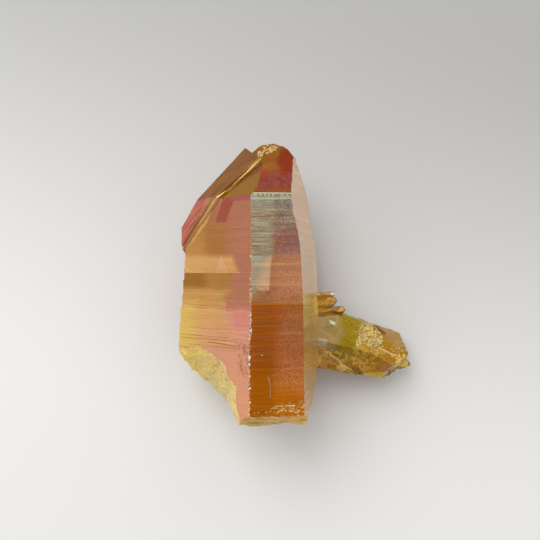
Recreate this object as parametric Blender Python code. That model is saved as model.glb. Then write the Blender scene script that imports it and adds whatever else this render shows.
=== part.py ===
"""Aura quartz cluster: a stout quartz crystal lying down, with a smaller crystal grown through its
right side and three stubs in the corner between them.

Metres, +Z up. The main crystal's long axis runs along Y, with its tip at +Y and its broken root at
-Y. It rests on a scar along its lowest edge and on the side crystal's belly. While it is built, the
long axis is the line x = 0, z = 0. At the end everything is shifted so that the origin is the centre
of the cluster's footprint, on the surface that it rests on.
"""

import math

import bmesh
import bpy
from mathutils import Matrix, Vector, noise

MM = 0.001

# Quartz's own angle between a tip face and the prism face below it
TIP_LEAN = math.radians(38.2)

# Height of the resting surface below the main crystal's long axis
REST_DEPTH = 16.3 * MM

# The main crystal's six prism faces. Each has the angle of its outward normal, from +Z towards +X in
# degrees, its distance from the long axis at the root, and the Y at which its tip face begins.
MAIN_FACES = {
    "left": (-44, 11.35 * MM, 16.4 * MM),
    "front": (16, 15.6 * MM, 17.9 * MM),
    "right": (74, 15.47 * MM, 26.2 * MM),
    "right_under": (136, 13.4 * MM, 15.8 * MM),
    "under": (196, 16.3 * MM, 5.6 * MM),
    "left_under": (256, 16.85 * MM, 9.8 * MM),
}
ROOT_END = -42 * MM
TIP_END = 40 * MM
CUTTER_DEPTH = 40 * MM

# Growth ledges: where each starts along Y, and how far the face steps in there, in millimetres
LEDGE_RUN = 0.35 * MM
LEDGES_MM = {
    "left": (
        (-15.2, 0.10), (-13.9, 0.12), (-9.3, 0.16), (-8.3, 0.08),
        (-0.7, 0.16), (4.2, 0.10), (9.4, 0.12),
    ),
    "front": (
        (-22.0, 0.08), (-14.1, 0.07), (-7.6, 0.20), (-3.4, 0.08), (1.2, 0.10),
        (4.8, 0.08), (7.9, 0.10), (10.6, 0.08), (13.1, 0.08),
    ),
    "right": (
        (-27.0, 0.10), (-16.2, 0.12), (-7.5, 0.26), (-1.4, 0.26), (3.6, 0.24), (6.6, 0.40), (9.2, 0.50),
        (11.9, 0.62), (14.6, 0.36), (18.6, 0.22), (20.6, 0.34), (22.8, 0.34), (24.6, 0.28),
    ),
    "right_under": ((-20.3, 0.10), (-11.0, 0.10), (-2.2, 0.12), (7.0, 0.14)),
    "under": ((-23.4, 0.14), (-15.7, 0.16), (-9.9, 0.18), (-4.1, 0.16), (1.3, 0.14)),
    "left_under": ((-17.4, 0.15), (-12.9, 0.30), (-9.0, 0.40), (-6.2, 0.30), (-3.0, 0.35), (0.4, 0.25)),
}

# A narrow bevel between the front face and its tip face
BEVEL_LEAN = math.radians(17)
BEVEL_START = 16.9 * MM

# The two slabs that stand proud along the upper left of the tip. They are bounded towards the main
# crystal by planes that cross its left face and its left tip face on a slant.
STEP_NORMAL = Vector((-0.573, 0.675, -0.466)).normalized()
STEP_POINT = Vector((-7.0, 17.1, 9.4)) * MM
OUTER_SLAB = {"lift": 1.15 * MM, "near": 0.95 * MM, "far": 40 * MM}
INNER_SLAB = {"lift": 0.60 * MM, "near": 0.0 * MM, "far": 1.6 * MM}
SLAB_BACK_LIFT = 0.7 * MM
SLAB_UNDER_LIFT = 1.5 * MM
# How far the slabs stay under the front and right tip faces, and how far down they reach
SLAB_INSET = 0.2 * MM
SLAB_REACH = 6 * MM

# The side crystal: a point on its axis, the axis's direction, and its size
SIDE_START = Vector((1.0, -12.55, -7.0)) * MM
SIDE_DIRECTION = Vector((0.966, -0.248, -0.085)).normalized()
SIDE_ROOT_RADIUS = 10.1 * MM
SIDE_TIP_RADIUS = 6.2 * MM
SIDE_LENGTH = 41.3 * MM
SIDE_ROLL = math.radians(2)
SIDE_FLATTENING = 0.94
# Its tip faces, as a point on each and the outward normal
SIDE_TIP_FACES = (
    (Vector((37.9, -17.0, -9.4)) * MM, Vector((0.91, 0.38, 0.16))),
    (Vector((32.9, -17.3, -5.2)) * MM, Vector((0.46, 0.22, 0.86))),
    (Vector((31.0, -14.4, -6.1)) * MM, Vector((0.50, 0.60, 0.62))),
    (Vector((36.7, -25.1, -11.0)) * MM, Vector((0.60, -0.72, 0.34))),
    (Vector((39.1, -21.5, -12.0)) * MM, Vector((0.93, -0.30, -0.22))),
    (Vector((36.0, -20.0, -14.6)) * MM, Vector((0.62, 0.05, -0.78))),
)

# Stubs in the corner and a nub on the side crystal's tip: root, tip, radius, flattening across, and
# roll in degrees
STUBS = (
    ((14.0, -6.1, -3.2), (20.9, -5.8, -3.0), 0.60, 0.8, 10),
    ((13.0, -8.4, -4.9), (22.2, -7.5, -4.4), 1.85, 0.85, 25),
    ((13.0, -11.0, -5.2), (24.0, -9.9, -4.6), 1.45, 0.55, 5),
    ((32.5, -22.9, -10.4), (41.0, -24.3, -11.3), 1.55, 0.8, 20),
)

# Bites out of the edge between the left and front faces: Y and radius, in millimetres
RIDGE_CHIPS_MM = (
    (-4.0, 0.55), (-6.9, 0.5), (-9.9, 0.6), (-11.0, 0.8), (-13.4, 0.9), (-14.6, 0.6),
    (-16.9, 0.6), (-19.0, 0.7), (-20.6, 0.5), (-23.0, 0.55), (-25.4, 0.7), (-28.6, 0.6),
)

# Broken places. Each is a sheet through rows of points, in millimetres, that everything beyond is
# broken off at. It has the way out of the crystal, the grain and relief of its roughness in
# millimetres, and its columns and rows of facets.
TIP_OUTLINE_MM = (
    (-6.0, 33.0), (-2.2, 30.3), (-0.44, 28.4), (0.61, 27.3), (1.77, 28.5), (2.47, 28.8), (3.52, 29.2),
    (5.5, 29.7), (6.76, 29.2), (7.06, 28.8), (7.83, 29.1), (9.2, 29.6), (11.0, 31.0),
)
MAIN_BREAKS = {
    "scoop": {
        "out": (-0.80, -0.60, 0.05), "grain": 0.45, "relief": 0.42, "grid": (34, 30),
        "sheet": (
            ((-18.4, -14.0, 9), (-8.5, -16.2, 11.5), (-2.2, -18.6, 15.2), (0.8, -24.0, 18), (1.0, -34, 18.5)),
            ((-17.4, -16.6, 0.4), (-12.1, -17.6, 4.1), (-6.1, -20.6, 9.9), (-2.9, -26.4, 13), (-1.6, -35, 15)),
            ((-17.2, -19.3, -1.2), (-14.2, -23.7, -1.2), (-9.8, -27.5, -1.2), (-5.6, -30.7, 2), (-2.2, -35, 9)),
            ((-16.0, -18.8, -16), (-11.5, -22.8, -16), (-7.6, -26.2, -16), (-4.0, -29.0, -14), (-1.0, -35, -14)),
            ((-15.2, -18.0, -28), (-10.0, -22.0, -28), (-6.0, -25.2, -28), (-2.0, -28.0, -28), (1.0, -34, -28)),
        ),
    },
    "root": {
        "out": (0.0, -1.0, 0.12), "grain": 0.45, "relief": 0.42, "grid": (34, 26),
        "sheet": (
            ((-24, -30.0, 20), (-8, -30.6, 19), (3, -31.1, 17.6), (9, -30.3, 16.4), (24, -28.6, 12)),
            ((-24, -34.6, 12), (-8, -34.8, 12), (3, -34.8, 11), (9, -34.8, 10.4), (24, -34.2, 8)),
            ((-24, -34.4, -1), (-8, -34.6, -1), (3, -34.6, -1), (9, -34.6, -1), (24, -33.4, -1)),
            ((-24, -32.4, -24), (-8, -32.6, -24), (3, -32.4, -24), (9, -32.2, -24), (24, -31.0, -24)),
        ),
    },
    "tip": {
        "out": (0.0, 1.0, 0.05), "grain": 0.30, "relief": 0.20, "grid": (36, 20),
        "sheet": (
            tuple((x, y + 0.3, 14) for x, y in TIP_OUTLINE_MM),
            tuple((x, y, 4) for x, y in TIP_OUTLINE_MM),
            tuple((x, y - 0.5, -10) for x, y in TIP_OUTLINE_MM),
        ),
    },
    "corner": {
        "out": (0.96, -0.28, 0.0), "grain": 0.45, "relief": 0.28, "grid": (12, 20),
        "sheet": (
            ((11.0, -38, 20), (15.4, -30.0, 20), (17.8, -21, 20)),
            ((10.6, -38, 10), (15.0, -30.2, 10), (17.4, -21, 10)),
            ((12.2, -37, -1), (14.5, -30.4, -1), (16.7, -21, -1)),
            ((9.0, -38, -22), (12.0, -30.8, -22), (15.0, -21, -22)),
        ),
    },
}
SIDE_BREAKS = {
    "upper_patch": {
        "out": (0.26, 0.39, 0.88), "grain": 0.36, "relief": 0.30, "grid": (28, 28),
        "sheet": (
            ((25.2, -12.4, -4.0), (28.2, -12.6, -5.7), (31.0, -12.6, -6.5), (33.9, -12.6, -6.6)),
            ((24.9, -14.8, -2.9), (28.2, -14.8, -5.3), (31.0, -14.8, -6.2), (33.9, -14.8, -5.9)),
            ((24.4, -17.2, -2.0), (28.0, -17.2, -3.9), (31.0, -17.2, -5.1), (33.9, -17.2, -5.3)),
            ((24.2, -20.2, -0.3), (28.0, -20.2, -1.6), (31.0, -20.2, -2.9), (33.9, -20.2, -3.3)),
        ),
    },
    "lower_patch": {
        "out": (0.02, -0.53, 0.85), "grain": 0.70, "relief": 0.26, "grid": (20, 18),
        "sheet": (
            ((15, -19.6, -1.39), (19, -19.6, -1.48), (23, -19.6, -1.48), (27, -19.6, -1.47)),
            ((15, -22.0, -3.89), (19, -22.0, -3.83), (23, -22.0, -3.48), (27, -22.0, -3.07)),
            ((15, -24.4, -5.48), (19, -24.4, -5.57), (23, -24.4, -5.52), (27, -24.4, -4.86)),
            ((15, -28.0, -7.40), (19, -28.0, -7.60), (23, -28.0, -7.60), (27, -28.0, -7.00)),
        ),
    },
}

AURA_GOLD = (0.80, 0.42, 0.13, 1.0)
QUARTZ_IOR = 1.544


def face_normal(name, lean=0.0):
    """Outward normal of a prism face, leant towards the tip."""
    turn = math.radians(MAIN_FACES[name][0])
    return Vector((math.sin(turn) * math.cos(lean), math.sin(lean), math.cos(turn) * math.cos(lean)))


def face_distance(name, y):
    """Distance from the long axis to a prism face at y, after the ledges below it."""
    distance = MAIN_FACES[name][1]
    for start, drop in LEDGES_MM[name]:
        share = (y - start * MM) / LEDGE_RUN
        distance -= drop * MM * min(1.0, max(0.0, share))
    return distance


def corner(first, second, y):
    """Where two neighbouring prism faces meet at y."""
    a = face_normal(first)
    b = face_normal(second)
    across = Matrix(((a.x, a.z), (b.x, b.z)))
    x, z = across.inverted() @ Vector((face_distance(first, y), face_distance(second, y)))
    return Vector((x, y, z))


def slice_off(bm, point, normal):
    """Takes off everything beyond a plane, and closes the cut with one flat face."""
    cut = bmesh.ops.bisect_plane(
        bm,
        geom=[*bm.verts, *bm.edges, *bm.faces],
        dist=1e-7,
        plane_co=point,
        plane_no=normal,
        clear_outer=True,
    )
    rim = [part for part in cut["geom_cut"] if isinstance(part, bmesh.types.BMEdge)]
    if rim:
        bmesh.ops.contextual_create(bm, geom=rim)


def finished(bm, name, collection, helper=True):
    """Makes an object of a closed mesh, with its faces pointing out."""
    bmesh.ops.recalc_face_normals(bm, faces=bm.faces)
    mesh = bpy.data.meshes.new(name)
    bm.to_mesh(mesh)
    bm.free()
    made = bpy.data.objects.new(name, mesh)
    collection.objects.link(made)
    if helper:
        made.hide_render = True
        made.display_type = "WIRE"
    return made


def tip_plane(name, lift=0.0, lean=TIP_LEAN, start=None):
    """A point on a tip face and its outward normal."""
    begins = MAIN_FACES[name][2] if start is None else start
    upright = face_normal(name)
    point = upright * face_distance(name, begins) + Vector((0, begins, 0))
    leant = face_normal(name, lean)
    return point + leant * lift, leant


def main_crystal(collection):
    """The six-sided column with its ledges, lofted ring by ring, and its tip cut to the tip faces."""
    names = list(MAIN_FACES)
    levels = {ROOT_END, TIP_END}
    for ledges in LEDGES_MM.values():
        for start, _ in ledges:
            levels |= {start * MM, start * MM + LEDGE_RUN}
    bm = bmesh.new()
    rings = [
        [bm.verts.new(corner(name, names[(i + 1) % 6], y)) for i, name in enumerate(names)]
        for y in sorted(levels)
    ]
    for lower, upper in zip(rings, rings[1:]):
        for i in range(6):
            bm.faces.new((lower[i - 1], lower[i], upper[i], upper[i - 1]))
    bm.faces.new(rings[0])
    bm.faces.new(rings[-1])
    slice_off(bm, *tip_plane("front", lean=BEVEL_LEAN, start=BEVEL_START))
    for name in names:
        slice_off(bm, *tip_plane(name))
    return finished(bm, "quartz_cluster", collection, helper=False)


def slab(name, shape, collection):
    """A slice of crystal in step with the main one but proud of it, between two slanting planes."""
    bm = bmesh.new()
    bmesh.ops.create_cube(bm, size=0.2)
    tip_y = MAIN_FACES["left"][2]
    lifted = shape["lift"]
    upright = face_normal("left")
    slice_off(bm, upright * (face_distance("left", tip_y) + lifted), upright)
    slice_off(bm, *tip_plane("left", lift=lifted * math.cos(TIP_LEAN)))
    slice_off(bm, *tip_plane("front", lift=-SLAB_INSET))
    slice_off(bm, *tip_plane("left_under", lift=SLAB_BACK_LIFT))
    slice_off(bm, *tip_plane("under", lift=SLAB_UNDER_LIFT))
    slice_off(bm, *tip_plane("right", lift=-SLAB_INSET))
    slice_off(bm, *tip_plane("right_under", lift=-SLAB_INSET))
    side = face_normal("left_under")
    slice_off(bm, side * (face_distance("left_under", tip_y) + SLAB_BACK_LIFT), side)
    slice_off(bm, STEP_POINT + STEP_NORMAL * shape["near"], -STEP_NORMAL)
    slice_off(bm, STEP_POINT + STEP_NORMAL * shape["far"], STEP_NORMAL)
    slice_off(bm, Vector((0, 0, -SLAB_REACH)), Vector((0, 0, -1)))
    return finished(bm, name, collection)


def hexagonal(name, root, tip, root_radius, tip_radius, roll, flatten, collection, tip_faces=()):
    """A small six-sided crystal from root to tip, narrowing, cut to its own tip faces."""
    root = Vector(root)
    span = Vector(tip) - root
    bm = bmesh.new()
    bmesh.ops.create_cone(
        bm,
        cap_ends=True,
        segments=6,
        radius1=root_radius,
        radius2=tip_radius,
        depth=span.length,
        matrix=Matrix.Translation((0, 0, span.length / 2)),
    )
    bmesh.ops.transform(bm, matrix=Matrix.Diagonal((1, flatten, 1, 1)) @ Matrix.Rotation(roll, 4, "Z"),
                        verts=bm.verts)
    stand = span.to_track_quat("Z", "Y").to_matrix().to_4x4()
    bmesh.ops.transform(bm, matrix=Matrix.Translation(root) @ stand, verts=bm.verts)
    for point, normal in tip_faces:
        slice_off(bm, point, normal.normalized())
    return finished(bm, name, collection)


def pointed_faces(root, tip, radius, count=3):
    """Tip faces for a stub: slanting planes spaced round its axis."""
    root = Vector(root)
    tip = Vector(tip)
    along = (tip - root).normalized()
    side = along.orthogonal().normalized()
    faces = []
    for i in range(count):
        out = side.copy()
        out.rotate(Matrix.Rotation(math.tau * i / count, 3, along))
        faces.append((tip, out * math.cos(TIP_LEAN) + along * math.sin(TIP_LEAN)))
        tip = tip - along * radius * 0.35
    return faces


def rough(point, grain):
    """Height of a broken surface at a point, about -1 to 1: shell-like waves, hackles and fine grit."""
    coarse = noise.noise(point / (7 * grain))
    ripple = math.sin(point.length / (1.3 * grain) + 4 * coarse)
    cells = noise.voronoi(point / (3 * grain))[0][0]
    grit = noise.noise(point / grain)
    return 1.1 * coarse + 0.22 * ripple + 0.9 * (cells - 0.4) + 0.35 * grit


def sheet_point(rows, across, down):
    """The point of a sheet at a share of its width and of its depth."""
    along = across * (len(rows[0]) - 1)
    over = down * (len(rows) - 1)
    i = min(int(along), len(rows[0]) - 2)
    j = min(int(over), len(rows) - 2)
    near = rows[j][i].lerp(rows[j][i + 1], along - i)
    far = rows[j + 1][i].lerp(rows[j + 1][i + 1], along - i)
    return near.lerp(far, over - j)


def break_cutter(name, shape, collection):
    """A cutter for one broken place: its sheet, roughened, and drawn out of the crystal."""
    outward = Vector(shape["out"]).normalized()
    rows = [[Vector(point) * MM for point in row] for row in shape["sheet"]]
    columns, depth = shape["grid"]
    bm = bmesh.new()
    bmesh.ops.create_grid(bm, x_segments=columns, y_segments=depth, size=1)
    for vert in bm.verts:
        spot = sheet_point(rows, (vert.co.x + 1) / 2, (vert.co.y + 1) / 2)
        vert.co = spot + outward * shape["relief"] * MM * rough(spot, shape["grain"] * MM)
    drawn = bmesh.ops.extrude_face_region(bm, geom=bm.faces[:])
    moved = [part for part in drawn["geom"] if isinstance(part, bmesh.types.BMVert)]
    bmesh.ops.translate(bm, vec=outward * CUTTER_DEPTH, verts=moved)
    return finished(bm, f"{name}_cutter", collection)


def ridge_chips(collection):
    """Small bites out of the edge between the left and front faces."""
    chips = []
    for i, (y, size) in enumerate(RIDGE_CHIPS_MM):
        bm = bmesh.new()
        bmesh.ops.create_icosphere(bm, subdivisions=1, radius=size * MM)
        spot = corner("left", "front", y * MM) + Vector((-0.1, 0, 0.42 * size)) * MM
        turn = Matrix.Rotation(1.7 * i, 4, "Y") @ Matrix.Diagonal((1.0, 1.5, 0.9, 1.0))
        bmesh.ops.transform(bm, matrix=Matrix.Translation(spot) @ turn, verts=bm.verts)
        chips.append(finished(bm, f"chip_cutter_{i}", collection))
    return chips


def combine(target, operation, others):
    """Adds one exact Boolean modifier for each of the others."""
    for other in others:
        step = target.modifiers.new(other.name, "BOOLEAN")
        step.operation = operation
        step.solver = "EXACT"
        step.object = other


def apply_modifiers(target):
    """Turns the object's modifiers into its mesh."""
    graph = bpy.context.evaluated_depsgraph_get()
    mesh = bpy.data.meshes.new_from_object(target.evaluated_get(graph))
    target.modifiers.clear()
    target.data = mesh


def aura_quartz():
    """Clear quartz under a golden metal-oxide film."""
    material = bpy.data.materials.new("aura_quartz")
    material.use_nodes = True
    shader = material.node_tree.nodes["Principled BSDF"]
    shader.inputs["Base Color"].default_value = AURA_GOLD
    shader.inputs["Roughness"].default_value = 0.10
    shader.inputs["Metallic"].default_value = 0.0
    shader.inputs["IOR"].default_value = QUARTZ_IOR
    shader.inputs["Transmission Weight"].default_value = 0.6
    return material


def set_down(target):
    """Cuts the resting scars level, and moves the origin to the footprint's centre. Returns the shift."""
    bm = bmesh.new()
    bm.from_mesh(target.data)
    bmesh.ops.dissolve_limit(bm, angle_limit=math.radians(0.05), verts=bm.verts, edges=bm.edges)
    cut = bmesh.ops.bisect_plane(
        bm,
        geom=[*bm.verts, *bm.edges, *bm.faces],
        dist=1e-7,
        plane_co=(0, 0, -REST_DEPTH),
        plane_no=(0, 0, -1),
        clear_outer=True,
    )
    rim = [part for part in cut["geom_cut"] if isinstance(part, bmesh.types.BMEdge)]
    bmesh.ops.holes_fill(bm, edges=rim, sides=0)
    xs = [vert.co.x for vert in bm.verts]
    ys = [vert.co.y for vert in bm.verts]
    middle = Vector(((min(xs) + max(xs)) / 2, (min(ys) + max(ys)) / 2, -REST_DEPTH))
    bmesh.ops.translate(bm, vec=-middle, verts=bm.verts)
    bmesh.ops.recalc_face_normals(bm, faces=bm.faces)
    bm.to_mesh(target.data)
    bm.free()
    return -middle


def build():
    for old in list(bpy.data.objects):
        bpy.data.objects.remove(old)
    parts = bpy.data.collections.new("aura_quartz_cluster")
    cutters = bpy.data.collections.new("helpers")
    for collection in (parts, cutters):
        bpy.context.scene.collection.children.link(collection)

    cluster = main_crystal(parts)
    slabs = [slab("inner_slab", INNER_SLAB, cutters), slab("outer_slab", OUTER_SLAB, cutters)]
    combine(cluster, "UNION", slabs)
    breaks = [break_cutter(name, shape, cutters) for name, shape in MAIN_BREAKS.items()]
    combine(cluster, "DIFFERENCE", breaks + ridge_chips(cutters))

    side_end = SIDE_START + SIDE_DIRECTION * SIDE_LENGTH
    side = hexagonal("side_crystal", SIDE_START, side_end, SIDE_ROOT_RADIUS, SIDE_TIP_RADIUS, SIDE_ROLL,
                     SIDE_FLATTENING, cutters, SIDE_TIP_FACES)
    combine(side, "DIFFERENCE", [break_cutter(name, shape, cutters) for name, shape in SIDE_BREAKS.items()])
    grown_on = [side]
    for i, (root, tip, radius, flatten, roll) in enumerate(STUBS):
        root = Vector(root) * MM
        tip = Vector(tip) * MM
        grown_on.append(
            hexagonal(f"stub_{i}", root, tip, radius * MM, radius * 0.92 * MM, math.radians(roll), flatten,
                      cutters, pointed_faces(root, tip, radius * MM))
        )
    combine(cluster, "UNION", grown_on)
    apply_modifiers(cluster)
    shift = set_down(cluster)
    cluster.data.materials.clear()
    cluster.data.materials.append(aura_quartz())
    cutters.hide_render = True
    return shift


build()
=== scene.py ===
"""Looks of the aura quartz cluster: clear quartz under a thin metal film, on a pale floor.

One piece stands for the CAD solid. It is a copy of the solid's mesh with finer growth lines, chips
and broken surfaces, and one material whose film changes colour from face to face, with painted
highlights, glints, reflection and shade in places.
"""

import math

import bmesh
import bpy
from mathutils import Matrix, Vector, noise


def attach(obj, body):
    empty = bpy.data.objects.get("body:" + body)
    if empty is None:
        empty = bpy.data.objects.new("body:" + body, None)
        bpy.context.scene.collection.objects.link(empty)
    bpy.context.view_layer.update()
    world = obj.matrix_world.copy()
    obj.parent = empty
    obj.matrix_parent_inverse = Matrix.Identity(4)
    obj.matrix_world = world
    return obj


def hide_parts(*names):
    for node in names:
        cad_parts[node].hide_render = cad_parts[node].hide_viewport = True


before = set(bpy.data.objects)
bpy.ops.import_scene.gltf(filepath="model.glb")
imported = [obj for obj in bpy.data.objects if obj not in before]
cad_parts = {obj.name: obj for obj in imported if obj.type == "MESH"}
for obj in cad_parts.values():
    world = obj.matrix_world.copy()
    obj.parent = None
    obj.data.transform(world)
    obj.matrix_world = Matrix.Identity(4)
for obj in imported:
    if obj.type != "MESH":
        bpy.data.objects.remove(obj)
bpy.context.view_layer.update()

MM = 0.001

# A point on the main crystal's long axis, which runs along Y. Everything below that is said in
# millimetres is measured from it.
AXIS = Vector((-11.686, 2.735, 16.3)) * MM

# The photograph: where its camera stood in millimetres, its focal length and its middle in pixels
EYE = Vector((4.8, 0.0, 172.8))
FOCAL = 720
MIDDLE = 270

# The main crystal's faces: angle of the outward normal, from +Z towards +X in degrees, and distance
# from the long axis in millimetres
PRISM = {
    "left": (-44, 11.1),
    "front": (16, 15.3),
    "right": (74, 14.0),
    "right_under": (136, 13.2),
    "under": (196, 16.0),
    "left_under": (256, 16.2),
}
TIP_LEAN = math.radians(38.2)  # how far the tip's faces lean from the prism's
# Where the leant tip faces start: Y, and distance from the axis
TIP_STARTS = {"left": (16.4, 10.5), "front": (17.9, 14.7)}
# Height above the axis of the level planes that the other regions' markings are laid out on
LEVELS = {"step": 9.0, "broken": 7.0, "side": -5.0, "glitter": -5.0}
# Regions of the surface that are painted apart. The rest is the film on the hidden faces.
REGIONS = ("left", "front", "right", "tip_left", "tip_front", "step", "broken", "side", "glitter")


def upright(name, lean=0.0):
    """Outward normal of one of the main crystal's faces, leant towards the tip."""
    turn = math.radians(PRISM[name][0])
    return Vector((math.sin(turn) * math.cos(lean), math.sin(lean), math.cos(turn) * math.cos(lean)))


def planes():
    """The plane that each region's markings are laid out on, as its normal and distance."""
    found = {name: (upright(name), PRISM[name][1]) for name in ("left", "front", "right")}
    for name, (start, distance) in TIP_STARTS.items():
        leant = upright(name, TIP_LEAN)
        found[f"tip_{name}"] = (leant, leant.dot(upright(name) * distance + Vector((0, start, 0))))
    found |= {name: (Vector((0, 0, 1)), height) for name, height in LEVELS.items()}
    return found


PLANES = planes()


def spot(px, py, region):
    """The place on a region's plane that the photograph shows at a pixel, in millimetres."""
    normal, distance = PLANES[region]
    ray = Vector((px - MIDDLE, MIDDLE - py, -FOCAL))
    return EYE + ray * ((distance - normal.dot(EYE)) / normal.dot(ray))


# ---------------------------------------------------------------- the piece's shape

# How the CAD faces are told apart, in millimetres and square millimetres
ALIGNED = math.radians(1.0)  # a face this close to a crystal face's direction belongs to it
FLAT_SMALLEST = 0.35  # a smaller face is a broken one, unless it leans like a growth ledge
LEDGE_NORMAL_Y = (0.1, 0.58)
LEDGE_END_Y = 24
TIP_FROM_Y = 5
STEP_SMALLEST = 0.6
SIDE_STARTS = 1.9  # distance past the main crystal's right and under faces
SIDE_END_Y = 3
GLITTER_LARGEST = 0.6
GLITTER_FROM_X = 23.5
GLITTER_FROM_Y = -21

# The finer mesh, in millimetres
FINE = 0.24  # between the rows of points on the main crystal's faces
FIRST_ROW = -34.0
ROWS = 265
COLUMN = {"left": 0.8, "front": 0.45, "right": 0.8}
COARSE_COLUMN = 1.4  # on the faces that aren't named above
COLUMN_SHIFT = 0.37  # share of a column, which keeps the columns off the crystal's own edges
HALF_WIDTH = 20  # of the strip that the columns fill
# Longest edge in the other regions, and in all of them where they face down
LONGEST = {"broken": 0.55, "glitter": 0.34, "side": 0.46, "tip_left": 0.7, "tip_front": 0.5, "step": 0.5}
LONGEST_BELOW = 1.1
FACES_DOWN = -0.25  # Z of the normal below which a face faces down
ROUNDS = 7  # of halving, at most
RESTING_TOP = 0.0003  # in metres: the points under it are the resting scars, and stay

# Growth lines that the photograph shows: face, Y, slope across, first and last place across, depth
GROOVES = (
    ("front", -7.05, 0.000, -9, 9, 0.050),
    ("front", -9.20, 0.010, -9, 9, 0.035),
    ("front", -9.80, 0.018, -9, 9, 0.035),
    ("front", -12.1, 0.000, -9, 1, 0.025),
    ("front", -14.5, -0.01, -9, 2, 0.030),
    ("front", -16.1, 0.004, -9, 2, 0.030),
    ("front", -27.3, 0.006, 0, 9, 0.025),
    ("left", -8.3, 0.000, -12, 9, 0.025),
    ("left", -9.0, 0.020, -12, 9, 0.035),
    ("left", -13.9, 0.012, -12, 3.5, 0.030),
    ("left", -15.2, 0.000, -12, 3.5, 0.060),
    ("left", -15.8, 0.016, -6, 3.5, 0.050),
    ("left", -16.3, 0.026, -3, 3.5, 0.040),
)
# Growth plates: waves of noise as scale across, scale along Y, seed and share, the number of plates
# in a wave of height 1, and the height of one plate's edge in millimetres
GROWTH_WAVES = ((0.07, 0.75, 0, 1.0), (0.16, 2.6, 4, 0.45))
PLATES = 9
PLATE_STEP = 0.011
RIDGE_SHARE = 0.3  # how much of the growth is left along the edges between two faces

# Chips along the edge between the left and front faces
RIDGE_DEPTH = 0.09  # in millimetres along both faces' normals
RIDGE_GAIN = 1.6
RIDGE_COARSE = 0.6
CHIPPED_BELOW_Y = -1
CHIPPING = (0.05, -0.45)  # below and above it
BIG_CHIPS = ((-15, -10.5), (-7, -3))  # first and last Y
BIG_CHIPPING = 0.45

# The right face's evened distance from the axis along Y, how much of its ledges that takes away, and
# where it ends at the tip and over how many millimetres it fades out there
RIGHT_PROFILE = (
    (-21.6, 15.37), (-11.9, 15.25), (-4.5, 14.99), (1.1, 14.73), (5.1, 14.49), (7.9, 14.09), (10.5, 13.59),
    (13.2, 12.97), (16.6, 12.61), (19.6, 12.39), (21.7, 12.05), (23.7, 11.71), (25.5, 11.43),
)
EVENED = 0.78
PROFILE_END = 25.4
PROFILE_FADE = 1.5

# Flakes broken off the foot of the front face
FOOT_Y = -31.2
FLAKE_REACH = (0.3, 2.6)  # up the face, at its left and right sides
FLAKE_TURN = (-2.0, 6)  # place across where the reach starts to grow, and the width that it takes
FLAKE_WAVES = ((0.45, 1.1, 3.3, 1.0), (1.3, 2.9, 8.6, 0.6))
FLAKE_RAGGED = 0.55
FLAKE_LEVELS = 4
FLAKE_DEPTH = 0.07  # of one level
FLAKE_FRESH = 0.42  # share of each level that is painted as fresh

# The crushed strip along the top of the tip, in the photograph's pixels
CRUSHED = ((257, 162), (268, 160), (275, 152), (285, 148), (286, 138), (268, 138), (256, 152))
CRUSHED_FROM_Y = 15
CRUSHED_FADE = 0.8  # millimetres from its outline to its full relief
CRUSHED_RELIEF = 0.22
CRUSHED_WAVES = ((1.3, 1.0), (3.7, 0.8))  # waves of noise as scale and share

# The outer slab's edge on the left face: where it starts and ends in pixels, and how far its end
# moves up along Y, fading out over this reach, in millimetres
SLAB_EDGE = ((217, 197), (185, 258))
SLAB_SHIFT = 2.3
SLAB_SHIFT_REACH = 7.0
SLAB_SHIFT_DEPTH = 6  # how far under the left face it still moves

# Shell-shaped breaks on the side crystal: middle in pixels, radius, wave length and height
SHELLS = (
    ((331, 323), 3.4, 1.7, 0.20), ((321, 342), 2.4, 1.0, 0.12), ((392, 358), 2.2, 0.8, 0.10),
)
# Flakes of a broken surface: size in millimetres and slant, for each region
FLAKES = {"broken": (2.7, 0.17), "glitter": (0.75, 0.85), "side": (2.3, 0.36)}
FLAKE_CELL = 7.3  # spreads the cells' centres apart, so that each gets its own slant
SIDE_RIDGE = 346  # the photograph's row where the side crystal's upper face ends
SIDE_UPPER_SHARE = 0.35  # how flaked it is above that row
SIDE_SWELL = (0.5, 0.08)  # scale and height
# Roughness of the broken regions: height in millimetres, and waves of noise as scale and share
ROUGH = {"broken": 0.055, "glitter": 0.10}
ROUGH_WAVES = ((1.9, 1.0), (4.3, 0.7))


def across(name, point):
    """Distance across a prism face from the middle of the crystal."""
    turn = math.radians(PRISM[name][0])
    return point.x * math.cos(turn) - point.z * math.sin(turn)


def profile(y):
    """The right face's evened distance from the axis."""
    if y <= RIGHT_PROFILE[0][0]:
        return None
    for (y0, d0), (y1, d1) in zip(RIGHT_PROFILE, RIGHT_PROFILE[1:]):
        if y < y1:
            return d0 + (d1 - d0) * (y - y0) / (y1 - y0)
    return RIGHT_PROFILE[-1][1]


def outline_lines(corners):
    """A convex outline's edges as (x, y, constant), each measuring the distance inside it."""
    middle = sum(corners, Vector((0, 0, 0))) / len(corners)
    lines = []
    for a, b in zip(corners, corners[1:] + corners[:1]):
        edge = b - a
        normal = Vector((-edge.y, edge.x)).normalized()
        if normal.dot((middle - a).to_2d()) < 0:
            normal = -normal
        lines.append((normal.x, normal.y, -normal.dot(a.to_2d())))
    return lines


def clamped(value, highest=1.0):
    """The value, kept between 0 and the highest."""
    return min(highest, max(0.0, value))


def waves_across(s, y, waves, seed=0):
    """Waves of noise over a face, at a place across and along it."""
    return sum(share * noise.noise(Vector((s * a, y * b, seed + c))) for a, b, c, share in waves)


def waves_at(point, waves):
    """Waves of noise at a point."""
    return sum(share * noise.noise(point * scale) for scale, share in waves)


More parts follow.
